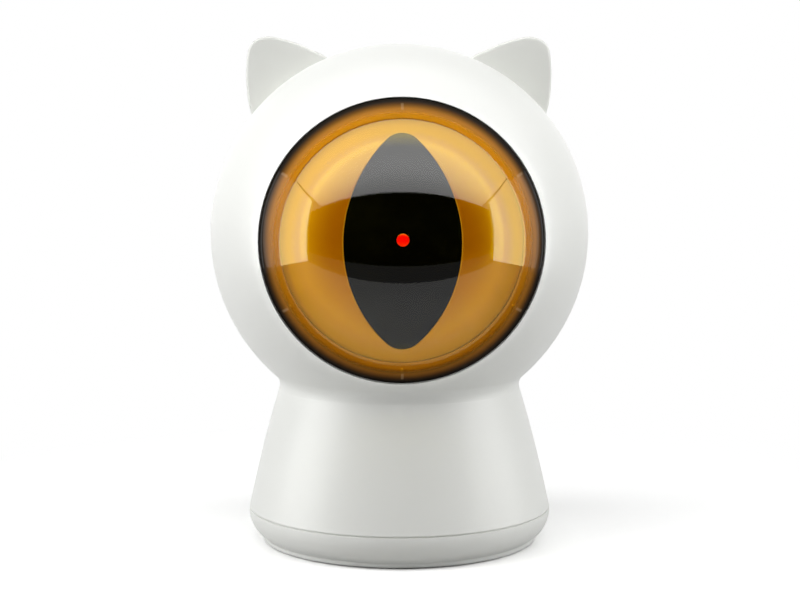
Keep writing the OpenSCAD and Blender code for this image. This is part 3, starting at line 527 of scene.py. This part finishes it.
# ---------------------------------------------------------------- pupil
# A polished black insert that fills the slit from behind, a little below the gold, with the
# hole for the laser's window in its middle.
PUPIL_R, PUPIL_T, PUPIL_HOLE_R, LASER_UP = 30.05, 2.4, 1.45, 0.9
PUPIL_STEPS = (
    [(0, 0.5), (0.006, 0.06), (0.02, 0)] + [(0.02 + 0.96 * k / 12, 0) for k in range(1, 13)]
    + [(0.995, 0.05), (1, 0.25), (1, 1.3), (0.9, PUPIL_T)]
    + [(0.9 - 0.9 * k / 8, PUPIL_T) for k in range(1, 9)]
)
outline = slit(PUPIL_PLAY)
hole = round_hole(PUPIL_HOLE_R, outline, LASER_UP)
mesh = cap_between("pupil", hole, outline, PUPIL_STEPS, PUPIL_R)
black, wire = start_paint("polished_black")
place = wire.node("TexCoord", out="Object")
haze = wire.node("TexNoise", None, {"Vector": place, "Scale": 120.0, "Detail": 5.0})
coat_with(wire.node("BsdfPrincipled", None, {
    "Base Color": haze.ramp(0.4, 0.7).between(swatch(4, 4, 4), swatch(9, 9, 9)),
    "Roughness": haze.ramp(0.3, 0.8, 0.45, 0.6), "Specular IOR Level": 0.0,
    "Normal": wire.node("Bump", None, {"Strength": 0.03, "Distance": 0.0001, "Height": haze}),
}))
mesh.materials.append(black)
add_piece("pupil", mesh, EYE, "eye", "pupil_black", "pupil_window")

# ---------------------------------------------------------------- laser window
# A small clear red lens over the laser, seated in the pupil's hole. It is lit from behind; its
# rim is painted dark in colour and glow, a painted shadow of the hole
LENS_R, LENS_BACK, LENS_FRONT, LENS_ROUND = 1.38, 27.25, 30.12, 0.25
LENS_RIM_FROM, LENS_RIM_TO = 0.00122, 0.00131


def turned(name, profile, steps=192, closed=False):
    """A mesh turned round its axis from points of radius and height in millimetres."""
    turns = [math.tau * k / steps for k in range(steps)]
    rings = [
        [(r * math.cos(a), r * math.sin(a), h) for a in turns] if r else [(0, 0, h)]
        for r, h in profile
    ]
    return ring_mesh(name, rings, closed)


def arc(x, y, radius, start, end, steps):
    """Points on an arc from one angle to another, in degrees."""
    turns = [math.radians(start + (end - start) * k / steps) for k in range(steps + 1)]
    return [(x + radius * math.cos(a), y + radius * math.sin(a)) for a in turns]


profile = [(0, LENS_BACK), (LENS_R, LENS_BACK)]
profile += arc(LENS_R - LENS_ROUND, LENS_FRONT - 0.45, LENS_ROUND, 0, 60, 5)
profile += [(LENS_R * 0.6, LENS_FRONT - 0.12), (LENS_R * 0.3, LENS_FRONT - 0.03), (0, LENS_FRONT)]
mesh = turned("laser_window", profile, 64)
glow_red, wire = start_paint("lit_red_window")
place = wire.node("TexCoord", out="Object")
glow_at = EYE @ Vector((0, LASER_UP * MM, IRIS_R * MM))
out_from = wire.node(
    "VectorMath", {"operation": "DISTANCE"}, {0: place, 1: tuple(glow_at)}, "Value"
)
# The rim is painted dark in colour and glow: a painted shadow of the hole it sits in
core, hole_shadow = out_from.ramp(0.0006, 0.0013), out_from.ramp(LENS_RIM_FROM, LENS_RIM_TO)
speckle = wire.node("TexNoise", None, {"Vector": place, "Scale": 3000.0})
coat_with(wire.node("BsdfPrincipled", None, {
    "Base Color": hole_shadow.between(swatch(60, 3, 3), swatch(6, 4, 4)),
    "Roughness": speckle * 0.1 + 0.12,
    "Emission Color": hole_shadow.between(
        core.between(swatch(252, 6, 5), swatch(247, 4, 3)), (0, 0, 0)
    ), "Emission Strength": 1.0,
}))
mesh.materials.append(glow_red)
place = EYE @ Matrix.Translation((0, LASER_UP * MM, 0))
add_piece("laser_window", mesh, place, "eye", "lens_red", "laser_lens")

# ---------------------------------------------------------------- bezel
# A black ring behind the dome, lacquered amber round the iris and fading out to black, with
# six small moulded tabs that key the dome.
SEAT, BEZEL_R, LIP_R, LIP_FRONT, LIP_IN_R = 16.58, 30.3, 26.6, 19.88, 24.45
BEZEL_STEP, BEZEL_DEEP, LIP_ROUND, LIP_IN_ROUND = 1.2, 2.6, 0.3, 0.1
IRIS_ROOM_R, ROOM_MOUTH_R = 30.7, 27.38
# The lacquer at its foot and its top, the top lighter as painted light from above, and where
# it has faded out; and where it fades, in metres
LACQUER_LOW, LACQUER_HIGH, LACQUER_OUT = [
    swatch(172, 110, 34), swatch(224, 156, 56), swatch(96, 60, 22)
]
FADE_FROM, FADE_TO = 0.0262, 0.0282
profile = [
    (BEZEL_R, SEAT - BEZEL_DEEP), (BEZEL_R, SEAT - BEZEL_STEP - 0.1),
    (BEZEL_R - 0.1, SEAT - BEZEL_STEP), (LIP_R, SEAT - BEZEL_STEP),
]
profile += arc(LIP_R - LIP_ROUND, LIP_FRONT - LIP_ROUND, LIP_ROUND, 0, 90, 6)
profile += arc(LIP_IN_R + LIP_IN_ROUND, LIP_FRONT - LIP_IN_ROUND, LIP_IN_ROUND, 90, 180, 6)
# Inside, it is cut to a sphere that leaves the turning iris room
room_radii = [LIP_IN_R + (ROOM_MOUTH_R - LIP_IN_R) * k / 10 for k in range(11)]
profile += [(r, math.sqrt(IRIS_ROOM_R ** 2 - r * r)) for r in room_radii]
mesh = turned("bezel_ring", profile, closed=True)
lip_paint, wire = start_paint("bezel_lacquer")
place = wire.node("TexCoord", out="Object")
mist = wire.node("TexNoise", None, {"Vector": place, "Scale": 700.0, "Detail": 4.0})
fade = (from_axis(place) + (mist - 0.5) * 0.0002).ramp(FADE_FROM, FADE_TO)
# Lighter at its top than at its foot: painted light from above
coat_with(wire.node("BsdfPrincipled", None, {
    "Base Color": fade.between(height(place).between(LACQUER_LOW, LACQUER_HIGH), LACQUER_OUT),
    "Roughness": mist * 0.1 + 0.38,
    "Normal": wire.node("Bump", None, {"Strength": 0.05, "Distance": 0.0001, "Height": mist}),
}))
mesh.materials.append(lip_paint)
add_piece("bezel_ring", mesh, EYE, "housing", "bezel_black", "eye_bezel")

TABS, TAB_R, TAB_L, TAB_W, TAB_H, TAB_ROUND = 6, 26.0, 1.1, 0.5, 0.4, 0.14
form = bmesh.new()
for k in range(TABS):
    made = bmesh.ops.create_cube(form, size=1)["verts"]
    place = Matrix.Rotation(math.pi / TABS + math.tau * k / TABS, 4, "Z")
    place = place @ Matrix.Translation((TAB_R * MM, 0, (LIP_FRONT + TAB_H / 2 - 0.1) * MM))
    place = place @ Matrix.Diagonal((TAB_L * MM, TAB_W * MM, TAB_H * MM, 1))
    bmesh.ops.transform(form, matrix=place, verts=made)
bmesh.ops.bevel(
    form, geom=form.edges[:], offset=TAB_ROUND * MM, segments=3, affect="EDGES", profile=0.5
)
mesh = bpy.data.meshes.new("rim_tabs")
form.to_mesh(mesh)
form.free()
mesh.materials.append(moulded("tab_plastic", swatch(196, 140, 62), 0.3, edge=0.0001))
add_piece("rim_tabs", mesh, EYE, "housing", "bezel_black")

# ---------------------------------------------------------------- dome
# A clear amber polycarbonate dome, polished outside. Its skirt and flange, which seat behind
# the opening, are painted black inside.
DOME_R, DOME_T, SKIRT_R, FLANGE_R, FLANGE_T = 35.3, 1.6, 28.3, 29.6, 1.2
DOME_TINT, DOME_IOR = (0.985, 0.955, 0.42), 1.52
# The most that its gloss grows to where it is seen edge on, and its gloss where it is painted
GRAZING, PAINTED_GLOSS, FLANK_GLOSS = 0.12, 0.012, 0.13
FLANK_LOW, FLANK_HIGH = math.radians(-13.2), math.radians(29.7)
# Distances from the axis: where the amber paint starts, where it turns black, and where the
# pale marks over the tabs lie, painted glints of the tabs
PAINT_FROM, PAINT_TO, BLACK_FROM, BLACK_TO = 0.0250, 0.0264, 0.0252, 0.0279
TAB_GLINT_FROM, TAB_GLINT_TO, TAB_GLINT_HALF_TURN = 0.0258, 0.0275, 0.006
# Where the white gloss thins and by how much, where the gold-tinted one, a painted reflection
# of the gold behind, sets in, and where both end
THIN_FROM, THIN_TO, GLOSS_MIDDLE, GLOSS_OUTER = 0.014, 0.019, 0.99, 0.84
GOLD_TINT_FROM, GOLD_TINT_TO, GOLD_TINT_GLOSS, GLOSS_END = 0.0186, 0.0222, 0.7, 0.0240
# The painted rim's amber at its foot and its top, the top lighter as painted light from above, and
# the skirt's black
AMBER_LOW, AMBER_HIGH, SKIRT_BLACK = swatch(150, 96, 28), swatch(196, 130, 42), swatch(14, 9, 4)
SKIRT_IN_R = SKIRT_R - DOME_T
inner_edge = math.degrees(math.asin(SKIRT_IN_R / (DOME_R - DOME_T)))
outer_edge = math.degrees(math.asin((SKIRT_R - 0.25) / DOME_R))
outside = [(DOME_R * math.sin(math.radians(a)), DOME_R * math.cos(math.radians(a)))
           for a in [outer_edge * k / 64 for k in range(65)]]
skirt_top = outside[-1][1]
wall = [(SKIRT_R - 0.06, skirt_top - 0.12), (SKIRT_R, skirt_top - 0.4), (SKIRT_R, SEAT),
        (FLANGE_R, SEAT), (FLANGE_R, SEAT - FLANGE_T), (SKIRT_IN_R, SEAT - FLANGE_T)]
DOME_IN_R = DOME_R - DOME_T
inside = [(DOME_IN_R * math.sin(math.radians(a)), DOME_IN_R * math.cos(math.radians(a)))
          for a in [inner_edge * (1 - k / 48) for k in range(49)]]
outside[0], inside[-1] = (0, DOME_R), (0, DOME_IN_R)
DOME_STEPS = 256
mesh = turned("clear_dome", outside + wall + inside, DOME_STEPS)


def dome_side(name, polished_side):
    """One side of the dome: clear amber inside a painted rim that darkens to the black skirt."""
    paint, wire = start_paint(name)
    place = wire.node("TexCoord", out="Object")
    swirl = wire.node("TexNoise", None, {"Vector": place, "Scale": 90.0, "Detail": 4.0})
    radial = from_axis(place)
    clear = wire.node("BsdfTransparent", None, {"Color": (*DOME_TINT, 1)})
    blackened = (radial + (swirl - 0.5) * 0.0003).ramp(BLACK_FROM, BLACK_TO)
    across = wire.node("SeparateXYZ", None, {0: place}, "X")
    rise = wire.node("SeparateXYZ", None, {0: place}, "Z") - EYE.translation.z
    turn = wire.maths("ARCTAN2", across, rise) * (TABS / math.tau)
    beside = wire.maths("ABSOLUTE", wire.maths("FRACT", turn + 0.5) - 0.5)
    # Pale marks over the six tabs: painted glints of the tabs behind the paint
    tab_glint = beside.ramp(TAB_GLINT_HALF_TURN, TAB_GLINT_HALF_TURN + 0.007, 1.0, 0.0)
    tab_glint = tab_glint * radial.ramp(TAB_GLINT_FROM, TAB_GLINT_FROM + 0.0004)
    tab_glint = tab_glint * radial.ramp(TAB_GLINT_TO - 0.0003, TAB_GLINT_TO, 1.0, 0.0)
    # The amber is lighter at the top: painted light from above
    shade = blackened.between(height(place).between(AMBER_LOW, AMBER_HIGH), SKIRT_BLACK)
    painted = wire.node("BsdfPrincipled", None, {
        "Base Color": (tab_glint * 0.16).between(shade, swatch(220, 190, 150)), "Roughness": 0.5,
        "Specular IOR Level": 0.02,
    })
    fade = radial.ramp(PAINT_FROM, PAINT_TO)
    body = wire.node("MixShader", None, {0: fade, 1: clear, 2: painted})
    if not polished_side:
        coat_with(body)
        return paint
    # Its gloss is white over the pupil, tinted gold towards the gold's rim as a painted reflection
    # of the gold behind, and faint on the paint, but for the two flanks, where a mask by angle
    # lays on a painted reflection of the side panels
    rough = swirl.ramp(0.3, 0.8, 0.015, 0.03)
    gloss, gold_tinted_gloss = [
        wire.node("BsdfAnisotropic", None, {"Color": colour, "Roughness": rough})
        for colour in ((1, 1, 1, 1), (1, 0.84, 0.33, 1))
    ]
    inside_ring = radial.ramp(GLOSS_END, GLOSS_END + 0.0003, 1.0, 0.0)
    gold_tinted_zone = radial.ramp(GOLD_TINT_FROM, GOLD_TINT_TO) * inside_ring
    thinned = radial.ramp(THIN_FROM, THIN_TO, GLOSS_MIDDLE, GLOSS_OUTER)
    lean = wire.maths("ARCTAN2", rise, wire.maths("ABSOLUTE", across))
    flank = lean.ramp(FLANK_LOW, FLANK_LOW + 0.012)
    flank = flank * lean.ramp(FLANK_HIGH, FLANK_HIGH + 0.012, 1.0, 0.0)
    polish = gold_tinted_zone * GOLD_TINT_GLOSS + thinned * inside_ring + PAINTED_GLOSS
    polish = polish + flank * (1 - inside_ring) * FLANK_GLOSS
    mirrored = wire.maths("MINIMUM", wire.node("Fresnel", None, {"IOR": DOME_IOR}), GRAZING)
    coat_with(wire.node("MixShader", None, {
        0: mirrored * polish, 1: body,
        2: wire.node("MixShader", None, {0: gold_tinted_zone, 1: gloss, 2: gold_tinted_gloss}),
    }))
    return paint


mesh.materials.append(dome_side("dome_outside", True))
mesh.materials.append(dome_side("dome_inside", False))
outer_faces = (len(outside) - 1) * DOME_STEPS
for face in mesh.polygons:
    face.material_index = 0 if face.index < outer_faces else 1
dome = add_piece("clear_dome", mesh, EYE, "housing", "clear_amber", "eye_dome")
# The lamps reach the iris through the clear dome
dome.visible_shadow = False

# ---------------------------------------------------------------- shells
# The front and rear halves of the head and base and the twist-off battery cap, moulded in white
# ABS with a fine satin texture. Four screws from behind join the halves.
shell_white = moulded(
    "satin_white", swatch(234, 235, 231), 0.36, cloud_and_painted_light=0.012, grain=0.035, gloss=0.35, crown=0.103
)
dress(["front_shell", "rear_shell", "bottom_cap"], shell_white)

# A thin white liner in the seam keeps dust out; it rides with the cap
SEAM_Z, SEAM_HALF, LINER_R, LINER_W = 7.2, 0.115, 32.46, 0.7
profile = [(LINER_R, SEAM_Z - SEAM_HALF), (LINER_R, SEAM_Z + SEAM_HALF),
           (LINER_R - LINER_W, SEAM_Z + SEAM_HALF), (LINER_R - LINER_W, SEAM_Z - SEAM_HALF)]
mesh = turned("seam_liner", profile, 256, closed=True)
mesh.materials.append(shell_white)
add_piece("seam_liner", mesh, Matrix.Identity(4), "cap", "shell_white")

# ---------------------------------------------------------------- ears
# Two pointed ears moulded in a softer plastic, flat with rounded edges, each plugged into the
# head behind the joint and held by a screw from inside. They are coloured grey-white, a little
# darker than the shell, as painted shade, and their edges are painted darker still, a painted
# shadow line
EAR_POINTS = [
    (30.6, 88), (31.95, 91.8), (32.75, 95.2), (33.05, 99.5), (32.95, 103), (32.5, 105.8),
    (31.5, 107.35), (30, 108.2), (28.2, 108.52), (25.8, 108.15), (22.2, 107.1), (18.8, 105.6),
    (16.2, 104.4), (12.5, 101.4), (13.5, 94), (17.5, 86), (26, 84),
]
EAR_FRONT, EAR_T, EAR_ROUND, EAR_CROWN = 4.0, 6.4, 0.6, 0.12
HEAD_R, HEAD_Z = 40.5, 66.2


def smooth_loop(points, steps):
    """A closed smooth curve through points, evenly spaced along its length."""
    fine = []
    for k in range(len(points)):
        a, b, c, d = (Vector(points[(k + j) % len(points)]) for j in (-1, 0, 1, 2))
        for t in [j / 40 for j in range(40)]:
            fine.append(0.5 * (2 * b + (c - a) * t + (2 * a - 5 * b + 4 * c - d) * t * t
                               + (3 * b - a - 3 * c + d) * t ** 3))
    lengths = [0.0]
    for a, b in zip(fine, fine[1:] + fine[:1]):
        lengths.append(lengths[-1] + (b - a).length)
    out, k = [], 0
    for j in range(steps):
        want = lengths[-1] * j / steps
        while lengths[k + 1] < want:
            k += 1
        share = (want - lengths[k]) / (lengths[k + 1] - lengths[k])
        out.append(fine[k].lerp(fine[(k + 1) % len(fine)], share))
    return out


def cut_away(mesh, cutter):
    """A mesh less the space of another."""
    pieces = [bpy.data.objects.new(m.name, m) for m in (mesh, cutter)]
    for piece in pieces:
        bpy.context.scene.collection.objects.link(piece)
    cut = pieces[0].modifiers.new("cut", "BOOLEAN")
    cut.solver, cut.operation, cut.object = "MANIFOLD", "DIFFERENCE", pieces[1]
    result = bpy.data.meshes.new_from_object(
        pieces[0].evaluated_get(bpy.context.evaluated_depsgraph_get())
    )
    for piece in pieces:
        bpy.data.objects.remove(piece)
    return result


# Greyer than the shell as painted shade; the negative edge amount darkens the edges, a painted
# shadow line
ear_plastic = moulded("ear_plastic", swatch(222, 223, 218), 0.5, cloud_and_painted_light=0.015, wear_and_edge_shading=-0.25)
loop = smooth_loop(EAR_POINTS, 220)
centre = sum(loop, Vector((0, 0))) / len(loop)
normals = []
for before, after in zip(loop[-1:] + loop[:-1], loop[1:] + loop[:1]):
    along = (after - before).normalized()
    normals.append(Vector((along.y, -along.x)))
if normals[0].dot(loop[0] - centre) < 0:
    normals = [-n for n in normals]


def ear_ring(inset, depth, share=1.0):
    """The ear's outline drawn in by some inset and shrunk to a share, at a depth."""
    ring = [centre + (p - n * inset - centre) * share for p, n in zip(loop, normals)]
    return [(p.x, EAR_FRONT + depth, p.y) for p in ring]


edge = [(EAR_ROUND * (1 - math.cos(a)), EAR_ROUND * (1 - math.sin(a)))
        for a in [math.pi / 2 * k / 8 for k in range(9)]]
# The front face is a little crowned, the edges are rounded, and the back is flat
face_rows = [0.9, 0.75, 0.55, 0.35, 0.15]
rings = [[(centre.x, EAR_FRONT - EAR_CROWN, centre.y)]]
rings += [ear_ring(EAR_ROUND, -EAR_CROWN * (1 - s * s), s) for s in reversed(face_rows)]
rings += [ear_ring(i, d) for i, d in reversed(edge)]
rings += [ear_ring(i, EAR_T - d) for i, d in edge]
rings += [ear_ring(EAR_ROUND, EAR_T, s) for s in face_rows]
rings += [[(centre.x, EAR_FRONT + EAR_T, centre.y)]]
# The head's round is cut out of each ear, so that the ear ends on it
BALL_STEPS = 160
head_ball = [
    (HEAD_R * math.sin(math.pi * k / BALL_STEPS), -HEAD_R * math.cos(math.pi * k / BALL_STEPS))
    for k in range(BALL_STEPS + 1)
]
head_ball[0], head_ball[-1] = (0, -HEAD_R), (0, HEAD_R)
for side, name in ((1, "right_ear"), (-1, "left_ear")):
    ear = ring_mesh("ear", [[(side * x, y, z) for x, y, z in ring] for ring in rings])
    ball = turned("head_ball", head_ball, 256)
    ball.transform(Matrix.Translation((0, 0, HEAD_Z * MM)))
    mesh = cut_away(ear, ball)
    mesh.materials.clear()
    mesh.materials.append(ear_plastic)
    add_piece("moulded_" + name, mesh, Matrix.Identity(4), "housing", "ear_plastic", name)

# ---------------------------------------------------------------- button
# A grey-white round button with a finger dish, moulded in plastic. It sits in the rear shell's
# hole, on the plunger of its switch.
button_plastic = moulded("button_plastic", swatch(218, 219, 216), 0.4, grain=0.03)
dress(["power_button", "switch_plunger"], button_plastic)

# ---------------------------------------------------------------- feet
# A ring and a round pad of soft grey rubber, which keep the toy from sliding. They are pressed
# into their seats under the battery cap.
foot_rubber = moulded("foot_rubber", swatch(92, 92, 94), 0.78, cloud_and_painted_light=0.08, grain=0.3)
dress(["rubber_feet"], foot_rubber)
